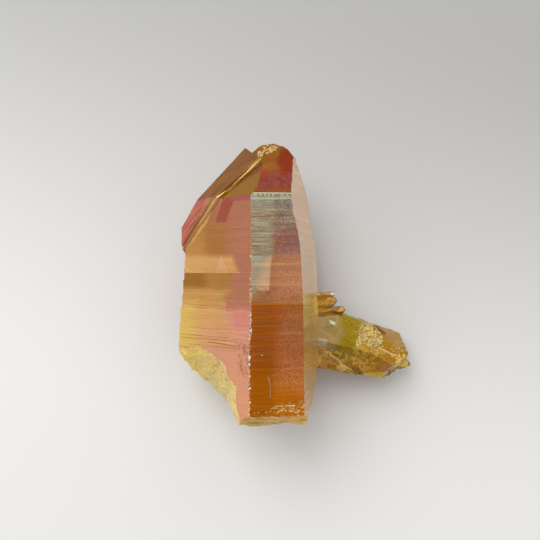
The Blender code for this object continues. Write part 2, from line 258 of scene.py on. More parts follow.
def flake_share(point):
    """How deep the foot of the front face is flaked at a point, 0 to 1."""
    s = across("front", point)
    low, high = FLAKE_REACH
    first, width = FLAKE_TURN
    reach = low + (high - low) * clamped((s - first) / width) ** 2
    ragged = waves_across(s, point.y, FLAKE_WAVES)
    return clamped(1.0 - (point.y - FOOT_Y) / reach + FLAKE_RAGGED * ragged, 0.999)


def flakes(point, size, slant):
    """The height of a surface broken into flat flakes, each at its own slant."""
    _, centres = noise.voronoi(point / size)
    lean = noise.cell_vector(centres[0] * FLAKE_CELL) - Vector((0.5, 0.5, 0.5))
    return slant * size * lean.dot(point / size - centres[0])


def growth(name, point):
    """How far a prism face lies off its plane: thin growth plates with stepped edges, and grooves."""
    s = across(name, point)
    seed = 11.0 * list(PRISM).index(name)
    height = math.floor(PLATES * waves_across(s, point.y, GROWTH_WAVES, seed)) * PLATE_STEP
    for face, y, slope, first, last, depth in GROOVES:
        if face == name and first < s < last:
            near = abs(point.y - y - slope * s) / FINE
            height -= depth * max(0.0, 1.0 - near)
    if name == "front":
        height -= FLAKE_DEPTH * math.floor(FLAKE_LEVELS * flake_share(point))
    return height


def ridge_chip(point):
    """How much of the edge between the left and front faces is chipped away at a point, 0 to 1."""
    coarse = noise.noise(Vector((point.y * 0.43, 2.37, 5.61)))
    fine = noise.noise(Vector((point.y * 1.73, 7.29, 1.43)))
    fine += noise.noise(Vector((point.y * 4.1, 0.5, 3.7)))
    low = CHIPPING[0] if point.y < CHIPPED_BELOW_Y else CHIPPING[1]
    big = BIG_CHIPPING if any(first < point.y < last for first, last in BIG_CHIPS) else 0.0
    return clamped(RIDGE_GAIN * (RIDGE_COARSE * coarse + fine + low + big))


def region_of(face):
    """The region that a face of the CAD mesh belongs to."""
    centre = (face.calc_center_median() - AXIS) / MM
    area = face.calc_area() / MM**2
    beyond = max(upright(n).dot(centre) - PRISM[n][1] for n in ("right", "right_under", "under"))
    if beyond > SIDE_STARTS and centre.y < SIDE_END_Y:
        rough = area < GLITTER_LARGEST and centre.x > GLITTER_FROM_X and centre.y > GLITTER_FROM_Y
        return "glitter" if rough and face.normal.z > 0.3 else "side"
    flat = Vector((face.normal.x, 0, face.normal.z))
    ledge = LEDGE_NORMAL_Y[0] < face.normal.y < LEDGE_NORMAL_Y[1] and centre.y < LEDGE_END_Y
    if flat.length > 0.3 and (area > FLAT_SMALLEST or ledge) and face.normal.y > -0.02:
        for name in PRISM:
            if flat.normalized().dot(upright(name)) > math.cos(ALIGNED):
                leant = abs(math.asin(face.normal.y) - TIP_LEAN) < ALIGNED
                if leant and centre.y > TIP_FROM_Y:
                    hidden = "right" if name == "right" else "under"
                    return f"tip_{name}" if name in TIP_STARTS else hidden
                return name
    step = area > STEP_SMALLEST and centre.y > TIP_FROM_Y and face.normal.z > -0.3
    return "step" if step else "broken"


def starting_mesh():
    """The CAD mesh, welded, with its flat faces whole again and each face's region marked."""
    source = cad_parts["quartz_cluster"]
    bm = bmesh.new()
    bm.from_mesh(source.data)
    bmesh.ops.remove_doubles(bm, verts=bm.verts, dist=2e-7)
    bmesh.ops.dissolve_limit(bm, angle_limit=math.radians(0.08), verts=bm.verts, edges=bm.edges)
    bm.normal_update()
    kind = bm.faces.layers.int.new("region")
    names = ("under", *REGIONS, "right_under", "left_under")
    for face in bm.faces:
        face[kind] = names.index(region_of(face))
    return bm, kind, names


def slice_faces(bm, faces, point, normal):
    """Cuts the faces that a plane crosses, and returns all of them with the new ones."""
    crossed, rest = [], []
    for face in faces:
        sides = [normal.dot(v.co - point) for v in face.verts]
        (crossed if min(sides) < -1e-6 and max(sides) > 1e-6 else rest).append(face)
    if not crossed:
        return faces
    edges = dict.fromkeys(e for f in crossed for e in f.edges)
    verts = dict.fromkeys(v for f in crossed for v in f.verts)
    cut = bmesh.ops.bisect_plane(
        bm, geom=[*verts, *edges, *crossed], dist=1e-7, plane_co=point, plane_no=normal
    )
    made = [g for g in cut["geom"] if isinstance(g, bmesh.types.BMFace)]
    return rest + made


def cut_rows(bm, kind, names):
    """Cuts the main crystal's prism faces into rows across the crystal, and columns along it."""
    for name, (degrees, _) in PRISM.items():
        mine = [f for f in bm.faces if f[kind] == names.index(name)]
        turn = math.radians(degrees)
        sideways = Vector((math.cos(turn), 0, -math.sin(turn)))
        width = COLUMN.get(name, COARSE_COLUMN)
        last = int(HALF_WIDTH / width)
        for i in range(-last, last + 1):
            mine = slice_faces(bm, mine, AXIS + sideways * (i + COLUMN_SHIFT) * width * MM, sideways)
    mine = [f for f in bm.faces if names[f[kind]] in PRISM]
    waiting = sorted(mine, key=lambda f: -min(v.co.y for v in f.verts))
    crossed = []
    for i in range(ROWS):
        plane = AXIS.y + (FIRST_ROW + i * FINE) * MM
        while waiting and min(v.co.y for v in waiting[-1].verts) < plane:
            crossed.append(waiting.pop())
        crossed = [f for f in crossed if max(v.co.y for v in f.verts) > plane]
        made = slice_faces(bm, crossed, Vector((0, plane, 0)), Vector((0, 1, 0)))
        crossed = [f for f in made if f.calc_center_median().y > plane]


def refine(bm, faces, longest):
    """Halves the edges of some faces until none is longer than the limit.

    The keys of dicts stand for sets here, so that the mesh is in the same order each time.
    """
    kept = dict.fromkeys(faces)
    for _ in range(ROUNDS):
        long_edges = dict.fromkeys(e for f in kept for e in f.edges if e.calc_length() > longest)
        if not long_edges:
            break
        cut = bmesh.ops.subdivide_edges(bm, edges=list(long_edges), cuts=1, use_grid_fill=False)
        made = [g for g in cut["geom"] if isinstance(g, bmesh.types.BMFace)]
        kept = dict.fromkeys(f for f in (*kept, *made) if f.is_valid)
        flat = [f for f in kept if len(f.verts) > 4]
        if flat:
            cut = bmesh.ops.triangulate(bm, faces=flat)
            kept = dict.fromkeys([*(f for f in kept if f.is_valid), *cut["faces"]])


def off_planes(normals, depths):
    """The move across the crystal that takes a point off one or two planes by the given depths."""
    a = normals[0]
    if len(normals) == 1:
        flat = Vector((a.x, 0, a.z))
        return flat * depths[0] / flat.length_squared
    b = normals[1]
    det = a.x * b.z - a.z * b.x
    x = (depths[0] * b.z - depths[1] * a.z) / det
    z = (a.x * depths[1] - b.x * depths[0]) / det
    return Vector((x, 0, z))


def prism_move(point, kinds):
    """The move of a point on the main crystal's flat faces, and how chipped it is."""
    normals, depths = [], []
    at_tip = any(k.startswith("tip") for k in kinds)
    for k in sorted(kinds):
        leant = k.startswith("tip")
        normal = upright(k[4:], TIP_LEAN) if leant else upright(k)
        depth = 0.0 if at_tip else growth(k, point) * (RIDGE_SHARE if len(kinds) == 2 else 1.0)
        if k == "right" and profile(point.y) is not None:
            faded = clamped((PROFILE_END - point.y) / PROFILE_FADE)
            depth += EVENED * faded * (profile(point.y) - normal.dot(point))
        normals.append(normal)
        depths.append(depth)
    move = off_planes(normals, depths)
    chipped = 0.0
    if kinds == {"front"}:
        deep = FLAKE_LEVELS * flake_share(point)
        chipped = float(deep > 1 and deep % 1 < FLAKE_FRESH)
    if kinds == {"left", "front"}:
        chipped = ridge_chip(point)
        move += (upright("left") + upright("front")) * -RIDGE_DEPTH * chipped
    return move, chipped


def side_move(point, normal):
    """The move of a point on the side crystal: slow swells and shell-shaped breaks."""
    size, slant = FLAKES["side"]
    flaked = 1.0 if spot(0, SIDE_RIDGE, "side").y > point.y else SIDE_UPPER_SHARE
    scale, swell = SIDE_SWELL
    move = swell * noise.noise(point * scale) + flaked * flakes(point, size, slant)
    if normal.z > 0:
        for middle, radius, wave, height in SHELLS:
            gap = (point - spot(*middle, "side")).to_2d().length
            if gap < radius:
                move += height * math.cos(math.tau * gap / wave) * (1 - gap / radius)
    return normal * move


def slab_shift(point):
    """How far along Y the outer slab's edge on the left face moves, to where the photograph has it."""
    if upright("left").dot(point) < PRISM["left"][1] - SLAB_SHIFT_DEPTH:
        return 0.0
    start, end = (spot(px, py, "left") for px, py in SLAB_EDGE)
    share = (start.x - point.x) / (start.x - end.x)
    if share <= 0:
        return 0.0
    line = start.y + (end.y - start.y) * share
    near = max(0.0, 1.0 - abs(point.y - line) / SLAB_SHIFT_REACH)
    return SLAB_SHIFT * min(1.0, share) * near * near * (3 - 2 * near)


def shape_surface(bm, kind, names, chipped):
    """Moves the points of the finer mesh, and marks the ones on fresh chips."""
    crushed = outline_lines([spot(px, py, "tip_front") for px, py in CRUSHED])
    moves = []
    for vert in bm.verts:
        kinds = {names[f[kind]] for f in vert.link_faces}
        point = (vert.co - AXIS) / MM
        if point.z * MM + AXIS.z < RESTING_TOP or not kinds:
            continue
        if point.y > CRUSHED_FROM_Y and vert.normal.z > 0:
            share = min(x * point.x + y * point.y + c for x, y, c in crushed) / CRUSHED_FADE
            if share > 0:
                gap = waves_at(point, CRUSHED_WAVES)
                vert[chipped] = min(1.0, share * 1.5) * clamped(3.0 * gap + 0.5)
                moves.append((vert, vert.normal * min(1.0, share) * CRUSHED_RELIEF * (gap - 0.3)))
                continue
        if kinds <= {*PRISM, "tip_left", "tip_front"}:
            if len(kinds) > 2:
                continue
            move, vert[chipped] = prism_move(point, kinds)
        elif kinds <= set(ROUGH):
            move = min(ROUGH[k] for k in kinds) * waves_at(point, ROUGH_WAVES)
            if len(kinds) == 1:
                move += flakes(point, *FLAKES[min(kinds)])
            move = vert.normal * move
        elif kinds == {"side"}:
            move = side_move(point, vert.normal)
        else:
            continue
        moves.append((vert, move))
    for vert, move in moves:
        vert.co += move * MM
    for vert in bm.verts:
        vert.co.y += slab_shift((vert.co - AXIS) / MM) * MM


def quartz_piece():
    """The visible cluster, as one piece."""
    bm, kind, names = starting_mesh()
    cut_rows(bm, kind, names)
    for name, longest in LONGEST.items():
        mine = [f for f in bm.faces if f[kind] == names.index(name)]
        refine(bm, [f for f in mine if f.normal.z > FACES_DOWN], longest * MM)
        refine(bm, [f for f in mine if f.is_valid and f.normal.z <= FACES_DOWN], LONGEST_BELOW * MM)
    bmesh.ops.triangulate(bm, faces=[f for f in bm.faces if len(f.verts) > 4])
    bm.normal_update()
    chipped = bm.verts.layers.float.new("chipped")
    shape_surface(bm, kind, names, chipped)
    bmesh.ops.triangulate(bm, faces=bm.faces)
    kinds = [names[f[kind]] for f in bm.faces]
    mesh = bpy.data.meshes.new("quartz_crystals")
    bm.faces.layers.int.remove(kind)
    bm.to_mesh(mesh)
    bm.free()
    for region in REGIONS:
        marks = mesh.attributes.new(f"on_{region}", "FLOAT", "FACE")
        marks.data.foreach_set("value", [float(k == region) for k in kinds])
    piece = bpy.data.objects.new("quartz_crystals", mesh)
    bpy.context.scene.collection.objects.link(piece)
    return piece


# ---------------------------------------------------------------- its film

COLOURS = {
    "dusty rose": (181, 118, 97),
    "rosy tan": (184, 116, 88),
    "maroon": (162, 76, 68),
    "magenta": (172, 80, 96),
    "rose": (182, 80, 98),
    "tan": (172, 114, 58),
    "dark gold": (156, 102, 30),
    "gold": (218, 166, 92),
    "light gold": (230, 176, 112),
    "yellow gold": (234, 206, 98),
    "peach": (240, 184, 138),
    "pink": (232, 164, 140),
    "strong pink": (232, 140, 134),
    "salmon": (232, 164, 132),
    "mauve grey": (170, 108, 100),
    "step brown": (140, 84, 44),
    "mint": (154, 164, 142),
    "pale mint": (194, 206, 182),
    "cyan": (166, 196, 184),
    "stripe brown": (156, 98, 62),
    "purple grey": (126, 104, 112),
    "red brown": (160, 82, 60),
    "peach orange": (186, 124, 84),
    "orange brown": (170, 80, 12),
    "golden brown": (184, 98, 4),
    "lilac line": (170, 106, 74),
    "cream": (250, 222, 150),
    "beige": (248, 210, 176),
    "light beige": (250, 217, 178),
    "ochre": (236, 186, 96),
    "pale ochre": (214, 170, 108),
    "olive": (140, 96, 0),
    "brown gold": (130, 74, 0),
    "dark brown": (104, 54, 4),
    "red orange": (144, 70, 30),
    "dark red": (134, 30, 8),
    "crimson": (152, 40, 38),
    "wine": (124, 44, 44),
    "amber": (172, 122, 22),
    "grey glass": (166, 148, 108),
    "olive green": (142, 122, 10),
    "orange amber": (206, 136, 26),
    "mauve beige": (178, 150, 108),
    "white": (250, 248, 236),
    "haze": (196, 150, 124),
    "strip gold": (222, 174, 104),
    # painted highlight on the growth step faces
    "step highlight": (250, 222, 150),
    "rim gold": (255, 212, 102),
    "mid gold": (196, 144, 78),
    "dark olive grey": (84, 88, 66),
    "break gold": (250, 224, 122),
    "break tan": (248, 192, 110),
    "glitter gold": (250, 232, 146),
}

def box(left, top, right, bottom):
    """An upright rectangle's corners."""
    return ((left, top), (right, top), (right, bottom), (left, bottom))


# Markings of each region, in the order that they are laid on: colour, strength, softness of the edge
# in millimetres, the pattern that breaks it up, and its corners in the photograph's pixels
MARKINGS = {
    "left": (
        ("dusty rose", 1.0, 0, "plain", ()),
        ("tan", 0.95, 5.0, "plain", ((120, 212), (226, 212), (234, 330), (120, 330))),
        ("rosy tan", 0.9, 0.5, "streaks", ((214, 180), (233, 180), (217, 226), (192, 226))),
        ("mid gold", 0.8, 3.0, "plain", ((150, 240), (204, 232), (206, 262), (150, 262))),
        ("rose", 1.0, 0.3, "plain", ((190, 180), (215, 180), (184, 250), (170, 240))),
        ("mid gold", 0.85, 4.0, "slanting", ((150, 214), (202, 208), (188, 262), (150, 262))),
        ("strip gold", 0.9, 0.12, "plain",
         ((213, 194), (217, 196), (207, 222), (189, 247), (186, 246), (200, 222))),
        ("maroon", 1.0, 0.2, "plain", ((228, 180), (242, 180), (225, 222), (215, 222))),
        ("magenta", 0.9, 0.3, "plain", ((231, 180), (262, 180), (252, 199), (230, 201))),
        ("light gold", 0.9, 1.8, "plain", ((150, 256), (232, 256), (238, 274), (150, 274))),
        ("peach", 0.8, 0.5, "plain", ((221, 255), (229, 274), (215, 274))),
        ("light gold", 0.6, 0.1, "streaks", ((150, 271.4), (240, 271.8), (240, 272.8), (150, 272.8))),
        ("dark gold", 1.0, 0.08, "plain", box(150, 273, 232, 289)),
        ("mid gold", 0.6, 3.0, "plain", box(205, 270, 236, 292)),
        ("gold", 0.75, 2.4, "plain", ((150, 287), (226, 290), (224, 316), (150, 316))),
        ("dusty rose", 0.9, 2.6, "plain", box(229, 282, 262, 318)),
        ("dusty rose", 0.9, 0.1, "plain", box(232, 273, 262, 290)),
        ("light gold", 1.0, 0.3, "plain", ((150, 306), (236, 311), (238, 360), (150, 360))),
        ("yellow gold", 0.85, 4.5, "plain", ((130, 303), (194, 303), (198, 380), (130, 380))),
        ("pink", 0.95, 3.5, "plain", ((224, 304), (270, 304), (270, 360), (232, 360))),
        ("dusty rose", 0.9, 0.3, "plain", ((226, 302), (262, 302), (262, 311.8), (226, 311.2))),
        ("strong pink", 0.8, 2.6, "plain", ((231, 309), (256, 309), (256, 328), (234, 328))),
        ("salmon", 0.9, 1.6, "streaks", ((198, 324), (240, 327), (240, 345), (198, 341))),
        ("salmon", 1.0, 0.4, "plain", ((150, 342), (236, 346.5), (270, 347), (270, 460), (150, 460))),
        ("mauve grey", 0.8, 2.6, "mottle", ((235, 340), (258, 340), (256, 378), (241, 374))),
        ("light gold", 0.4, 2.0, "thin stripes", ((150, 288), (232, 288), (236, 346), (150, 346))),
        ("dusty rose", 0.12, 3.0, "fine stripes", box(170, 300, 262, 346)),
        ("step brown", 0.55, 0.12, "streaks", ((178, 302.6), (236, 307.8), (236, 308.6), (178, 303.6))),
        ("peach", 0.6, 0.12, "streaks", ((178, 304), (246, 309.6), (246, 310.8), (178, 305))),
        ("step brown", 0.4, 0.12, "streaks", ((182, 326), (232, 330.4), (232, 331.2), (182, 327))),
        ("step brown", 0.7, 0.12, "streaks", ((176, 332.6), (230, 337.4), (230, 338.2), (176, 333.6))),
        ("step brown", 0.8, 0.1, "plain", ((183, 336.8), (235, 340.8), (235, 341.5), (183, 337.3))),
        ("step brown", 0.85, 0.1, "plain", ((208, 341), (235, 345.6), (235, 346.6), (208, 341.8))),
        ("step brown", 0.7, 0.1, "plain", ((190, 343.4), (235, 347.8), (235, 348.3), (190, 343.9))),
        ("peach", 0.7, 0.1, "plain", ((196, 338.8), (235, 342.6), (235, 343.6), (196, 339.6))),
        ("step brown", 0.55, 0.15, "plain",
         ((236.4, 346), (239, 360), (245, 377), (243.8, 377), (237.6, 361))),
    ),
    "front": (
        ("peach orange", 1.0, 0, "plain", ()),
        ("purple grey", 1.0, 1.2, "plain", ((230, 170), (320, 170), (320, 256), (230, 254))),
        ("red brown", 0.8, 1.6, "speckle", ((274, 218), (320, 200), (320, 280), (270, 262))),
        # The mint, pale mint and cyan on the upper front are partly the film's colour and partly a painted
        # reflection of bright light.
        ("mint", 0.85, 3.0, "speckle", ((230, 170), (330, 170), (330, 212), (230, 250))),
        ("mint", 0.95, 2.0, "plain", box(230, 170, 272, 256)),
        ("stripe brown", 0.7, 1.6, "stripes", ((230, 204), (277, 204), (277, 260), (230, 256))),
        ("stripe brown", 0.7, 2.0, "fine stripes", ((230, 214), (282, 214), (280, 258), (230, 256))),
        ("pale mint", 0.7, 1.6, "thin stripes", ((230, 190), (276, 190), (272, 258), (230, 256))),
        ("purple grey", 0.36, 2.0, "fine mottle", ((230, 196), (280, 196), (276, 236), (230, 238))),
        ("haze", 0.55, 1.5, "flecks", ((266, 220), (320, 214), (320, 262), (266, 262))),
        ("pale mint", 0.9, 0.5, "plain", ((230, 180), (320, 180), (320, 198.6), (230, 199))),
        # A dark olive-grey toothed band just under the pale mint fringe.
        ("dark olive grey", 0.65, 0.3, "teeth", ((230, 180), (320, 180), (320, 197.4), (230, 197))),
        ("pale mint", 0.8, 0.1, "plain", ((230, 180), (320, 180), (320, 193.6), (230, 193))),
        ("wine", 1.0, 0.08, "plain", ((230, 170), (320, 170), (320, 192.6), (230, 191.6))),
        ("beige", 0.6, 0.5, "plain", ((230, 256), (271.5, 256), (269, 291), (230, 288))),
        ("mint", 0.9, 2.2, "grain", ((220, 256), (266, 256), (256, 296), (220, 290))),
        ("cyan", 1.0, 0.4, "grain", ((230, 256), (264, 256), (262, 260), (230, 261))),
        ("haze", 0.75, 3.0, "speckle", ((274, 254), (320, 244), (320, 298), (276, 302))),
        ("red brown", 0.5, 1.2, "mottle", ((254, 286), (320, 288), (320, 308), (254, 308))),
        ("haze", 0.7, 0.1, "streaks", ((230, 301.2), (320, 301.6), (320, 302.4), (230, 302.2))),
        ("orange brown", 1.0, 0.08, "plain", box(220, 302.4, 330, 470)),
        ("golden brown", 0.9, 5.0, "plain", box(210, 374, 340, 480)),
        ("haze", 0.5, 4.0, "speckle", ((282, 308), (330, 300), (330, 400), (276, 384))),
        ("lilac line", 0.7, 2.5, "mottle", ((280, 322), (330, 308), (330, 390), (284, 366))),
        ("stripe brown", 0.5, 2.0, "thin stripes", box(220, 302, 330, 360)),
        ("lilac line", 0.9, 0.1, "streaks", ((230, 311.8), (320, 313.2), (320, 314.2), (230, 312.8))),
        ("lilac line", 0.6, 0.1, "streaks", ((230, 324.6), (284, 324.8), (284, 325.6), (230, 325.4))),
        ("lilac line", 0.6, 0.1, "streaks", ((230, 335.6), (288, 335.8), (288, 336.6), (230, 336.4))),
        ("lilac line", 0.6, 0.1, "streaks", ((230, 342.8), (288, 343), (288, 343.8), (230, 343.6))),
        ("lilac line", 0.6, 0.1, "streaks", ((270, 394.2), (320, 393.6), (320, 394.4), (270, 395))),
        ("haze", 0.7, 0.1, "plain", ((267.4, 376), (269.6, 378), (270.8, 386), (270, 386))),
        ("haze", 0.7, 0.1, "plain", ((270, 386), (270.9, 386), (270.6, 397), (269.6, 397))),
        # Painted glint: a tiny white spot on the front face.
        ("white", 0.7, 0.1, "plain", box(261.4, 354.6, 262.6, 355.6)),
        ("cream", 0.8, 0.6, "flecks", ((268, 408), (320, 396), (320, 470), (268, 470))),
        ("cream", 1.0, 0.2, "grain", ((230, 419), (320, 417), (320, 470), (230, 470))),
    ),
    "right": (
        ("beige", 1.0, 0, "plain", ()),
        ("light beige", 0.9, 3.0, "plain", box(280, 232, 340, 310)),
        ("light beige", 0.7, 0.5, "plain", box(311, 190, 316, 430)),
        ("ochre", 0.95, 1.2, "plain", ((280, 297), (330, 294), (330, 460), (280, 460))),
        ("break gold", 0.7, 1.5, "plain", ((280, 297), (330, 294), (330, 316), (280, 316))),
        ("dark gold", 0.5, 3.0, "streaks", box(280, 324, 330, 352)),
        ("pale ochre", 0.9, 3.0, "streaks", box(280, 378, 330, 460)),
        ("cream", 0.7, 0.5, "grain", ((280, 408), (330, 404), (330, 460), (280, 460))),
    ),
    "tip_left": (
        ("brown gold", 1.0, 0, "plain", ()),
        ("dark brown", 0.7, 0, "slanting", ()),
        ("olive", 0.95, 0.3, "plain",
         ((218, 198), (229, 191), (243, 177), (262, 160), (275, 160), (256, 200))),
        # Painted highlight: thin cream lines along the outer slab's edge, where its step catches the
        # light.
        ("cream", 1.0, 0.1, "plain", ((216, 197.2), (230, 188.6), (230, 190), (217, 198.8))),
        ("cream", 1.0, 0.1, "plain", ((229, 189.2), (243, 175.6), (243.6, 177), (229.6, 190.4))),
        ("cream", 1.0, 0.1, "plain", ((242.6, 176), (261, 157), (262.4, 158), (243.2, 177.4))),
    ),
    "tip_front": (
        ("red orange", 1.0, 0, "plain", ()),
        ("dark red", 0.95, 1.0, "plain", ((279, 150), (300, 150), (300, 178), (283, 178), (277, 164))),
        ("wine", 1.0, 1.6, "plain", ((252, 177), (302, 176), (302, 204), (244, 204))),
        ("wine", 0.8, 1.6, "mottle", ((256, 170), (282, 172), (282, 184), (254, 184))),
        ("rose", 0.4, 2.0, "mottle", ((252, 174), (302, 172), (302, 204), (244, 204))),
        ("red orange", 0.7, 0.4, "streaks", ((246, 188), (300, 189), (300, 200), (244, 200))),
        ("crimson", 0.8, 0.5, "plain", ((262, 170), (268, 169), (268, 176), (261, 178))),
        ("olive", 0.7, 1.0, "mottle", ((260, 158), (276, 156), (276, 168), (262, 171))),
        ("olive", 0.6, 0.5, "plain", ((268, 140), (284, 140), (279, 156), (268, 156))),
        ("olive", 0.9, 0.3, "plain", ((255, 150), (266, 158), (262, 168), (256, 182), (250, 180))),
    ),
    "step": (
        # Painted highlight: the step faces are painted cream and near white for the light that they catch,
        # brightest in the step highlight strip.
        ("cream", 1.0, 0, "plain", ()),
        ("peach", 0.7, 0, "streaks", ()),
        ("step highlight", 0.9, 1.0, "plain", ((220, 198), (220, 260), (170, 260), (190, 198))),
    ),
    "broken": (
        ("break gold", 1.0, 0, "plain", ()),
        ("break tan", 0.7, 1.6, "mottle", ((200, 352), (226, 358), (232, 380), (214, 384), (196, 372))),
        ("ochre", 0.15, 0, "speckle", ()),
        ("yellow gold", 0.5, 3.0, "mottle", ((160, 330), (204, 330), (214, 400), (160, 400))),
        # Painted glints: white flecks on the broken surface at the lower left.
        ("white", 0.4, 2.0, "flecks", ((196, 352), (262, 352), (262, 450), (200, 420))),
        ("stripe brown", 1.0, 0.3, "plain", ((243, 190), (258, 190), (256, 408), (241, 408))),
        # Painted glints: white speckle on the chips along the edge between the left and front faces.
        ("white", 1.0, 0.3, "speckle", ((243, 190), (258, 190), (256, 408), (241, 408))),
        ("orange brown", 1.0, 0.1, "plain", box(257, 303, 303, 404)),
        ("white", 0.35, 3.0, "cracks", box(150, 330, 260, 450)),
        ("cream", 0.5, 0.6, "blots", box(230, 400, 330, 450)),
        ("rim gold", 1.0, 0.5, "plain", box(236, 412, 312, 450)),
        ("dark gold", 0.55, 0.3, "thin stripes", ((248, 400), (330, 400), (330, 419.4), (248, 420.4))),
    ),
    "side": (
        ("amber", 1.0, 0, "plain", ()),
        ("orange amber", 0.7, 3.0, "mottle", ((312, 346), (345, 350), (380, 356), (380, 384), (312, 376))),
        ("orange amber", 0.5, 0.5, "plain", box(314, 292, 333, 312)),
        ("olive green", 0.95, 3.0, "plain", ((330, 310), (370, 314), (358, 350), (330, 360))),
        ("grey glass", 0.9, 2.6, "plain", ((306, 310), (338, 312), (342, 334), (326, 352), (306, 352))),
        ("olive green", 0.5, 1.4, "plain", ((324, 326), (336, 324), (338, 334), (328, 336))),
        ("haze", 0.4, 1.5, "speckle", ((306, 330), (334, 330), (334, 350), (306, 352))),
        # Painted highlights: white spots on the side crystal's shell-shaped breaks, where a facet reflects
        # the lamp.
        ("white", 1.0, 0.3, "plain", ((328.6, 319.6), (334.8, 322), (334, 324.6), (331, 323.6))),
        ("white", 0.4, 0.5, "plain", ((316, 337), (326, 338), (325, 345), (316, 344))),
        ("break gold", 0.45, 2.4, "mottle", ((352, 346), (372, 346), (388, 352), (372, 358), (354, 354))),
        ("glitter gold", 0.9, 2.0, "flecks", ((354, 314), (392, 324), (384, 360), (352, 352))),
        ("cream", 0.9, 0.25, "plain", ((368, 320.4), (373, 320.4), (376, 325), (371, 325))),
        ("mauve beige", 0.9, 0.4, "plain", ((376, 322), (402, 328), (412, 352), (400, 351), (380, 332))),
        ("amber", 0.6, 0.6, "streaks", ((376, 322), (402, 328), (412, 352), (400, 351), (380, 332))),
        ("dark brown", 0.9, 0.25, "plain", ((373, 325), (387, 333), (386, 336), (373, 328))),
        ("mauve beige", 0.8, 0.3, "plain", box(328, 304.5, 348, 310)),
        ("purple grey", 0.45, 0.3, "plain", box(328, 304.5, 348, 310)),
        # Painted shade: a dark brown line under the stub's blade.
        ("brown gold", 0.95, 0.25, "plain", ((312, 312.4), (346, 309.8), (346, 314), (312, 317))),
        ("mauve beige", 0.9, 0.3, "plain", box(332, 292, 342, 305)),
        ("mauve beige", 0.8, 0.2, "plain", ((314, 288), (336, 288), (336, 294.6), (314, 295.4))),
        # Painted highlight: a white spot at the end of the stub's thin plate.
        ("white", 0.9, 0.3, "plain", box(330, 292, 333.4, 295)),
        ("break gold", 0.6, 0.8, "mottle", box(314, 296, 332, 306)),
        ("orange amber", 0.6, 1.5, "plain", ((312, 345), (326, 346), (334, 358), (330, 366), (312, 362))),
        ("break gold", 0.4, 2.0, "mottle", ((312, 348), (336, 348), (372, 362), (366, 378), (312, 370))),
        ("cream", 0.8, 0.8, "cracks", ((312, 344), (330, 346), (366, 356), (372, 384), (312, 384))),
        ("dark brown", 0.45, 1.0, "fine mottle",
         ((334, 356), (350, 362), (372, 376), (366, 384), (344, 374))),
        ("dark brown", 0.5, 0.8, "plain", ((350, 366), (356, 367), (369, 374), (366, 378), (354, 376))),
        ("cream", 0.9, 0.14, "grain", ((324, 347.6), (342, 361.4), (341, 363), (323, 349.4))),
        ("cream", 0.9, 0.14, "grain", ((339, 361), (352, 369.6), (351.4, 371), (338, 362.6))),
        ("cream", 0.9, 0.14, "grain", ((340, 363), (349, 368), (343, 372), (341, 370.5))),
        ("cream", 0.9, 0.14, "grain", ((378, 346), (396, 355.4), (395.4, 357), (377, 347.6))),
        ("cream", 0.8, 0.6, "blots", ((390, 350), (410, 346), (408, 360), (392, 358))),
        ("haze", 0.8, 0.8, "blots", ((312, 362), (328, 362), (334, 370), (312, 372))),
        ("haze", 0.5, 1.5, "speckle", ((380, 362), (400, 360), (390, 374), (376, 374))),
        ("yellow gold", 0.9, 0.4, "grain", ((364, 374), (388, 372), (388, 382), (364, 382))),
        ("break gold", 0.9, 0.4, "plain", box(396, 358, 412, 370)),
        ("amber", 0.6, 0.6, "mottle", box(396, 358, 412, 370)),
    ),
    "glitter": (
        ("glitter gold", 1.0, 0, "plain", ()),
        ("dark gold", 0.9, 0, "speckle", ()),
        # Painted glints: white flecks in the glittering patch.
        ("white", 0.75, 0, "flecks", ()),
        ("dark brown", 0.6, 0, "cracks", ()),
    ),
}
# The film's zones on the faces that the photograph doesn't show: colour, and the value of a slow
# noise where it is purest
HIDDEN_ZONES = (
    ("gold", 0.30), ("rosy tan", 0.42), ("magenta", 0.50), ("tan", 0.58), ("mint", 0.68), ("peach", 0.8),
)
ZONE_STRETCH = (0.05, 0.22, 0.05)
SHARPEST = 0.06  # softness of the sharpest edge between two colours, in millimetres
WOBBLE = Vector((0.22, 0.10, 0.22))  # how far the markings' edges waver, in millimetres
WOBBLE_SCALE = 1.1

# The patterns that break the markings up: stretch along X, Y and Z in cycles per millimetre, detail
# of the noise, and the values of the noise where the pattern starts and is full
PATTERNS = {
    "streaks": ((0.10, 4.2, 0.10), 3, 0.30, 0.62),
    "stripes": ((0.05, 3.3, 0.05), 3, 0.50, 0.57),
    "fine stripes": ((0.12, 4.8, 0.12), 2, 0.46, 0.58),
    "thin stripes": ((0.20, 5.2, 0.20), 2, 0.50, 0.58),
    "teeth": ((4.4, 0.8, 1.0), 1, 0.44, 0.54),
    "slanting": ((0.10, 3.6, 0.10), 3, 0.46, 0.58),
    "mottle": ((0.9, 0.9, 0.9), 4, 0.40, 0.64),
    "fine mottle": ((1.5, 3.0, 1.5), 4, 0.42, 0.60),
    "speckle": ((2.3, 3.1, 2.3), 3, 0.40, 0.62),
    "flecks": ((2.0, 2.4, 2.0), 2, 0.58, 0.66),
    "blots": ((0.9, 0.9, 0.9), 3, 0.50, 0.60),
    "grain": ((3.4, 5.0, 3.4), 2, 0.25, 0.60),
}
PATTERN_ROUGHNESS = 0.6
SLANT = math.radians(-47)  # turn of the slanting pattern
# Cracks: cells per millimetre, how wide a crack is in a cell, and the noise that bends them
CRACK_CELLS = 0.42
CRACK_WIDTH = 0.07
CRACK_BEND = 1.6
CRACK_BEND_SCALE = 0.8

# Fresh chips: the Y from lined ones at the foot to rough ones, how chipped a point is where the
# paint starts and is full, and how much of it covers the film
FRESH_LINED = (-20, -10)
FRESH_EDGE = (0.15, 0.6)
FRESH_SHARE = 0.85

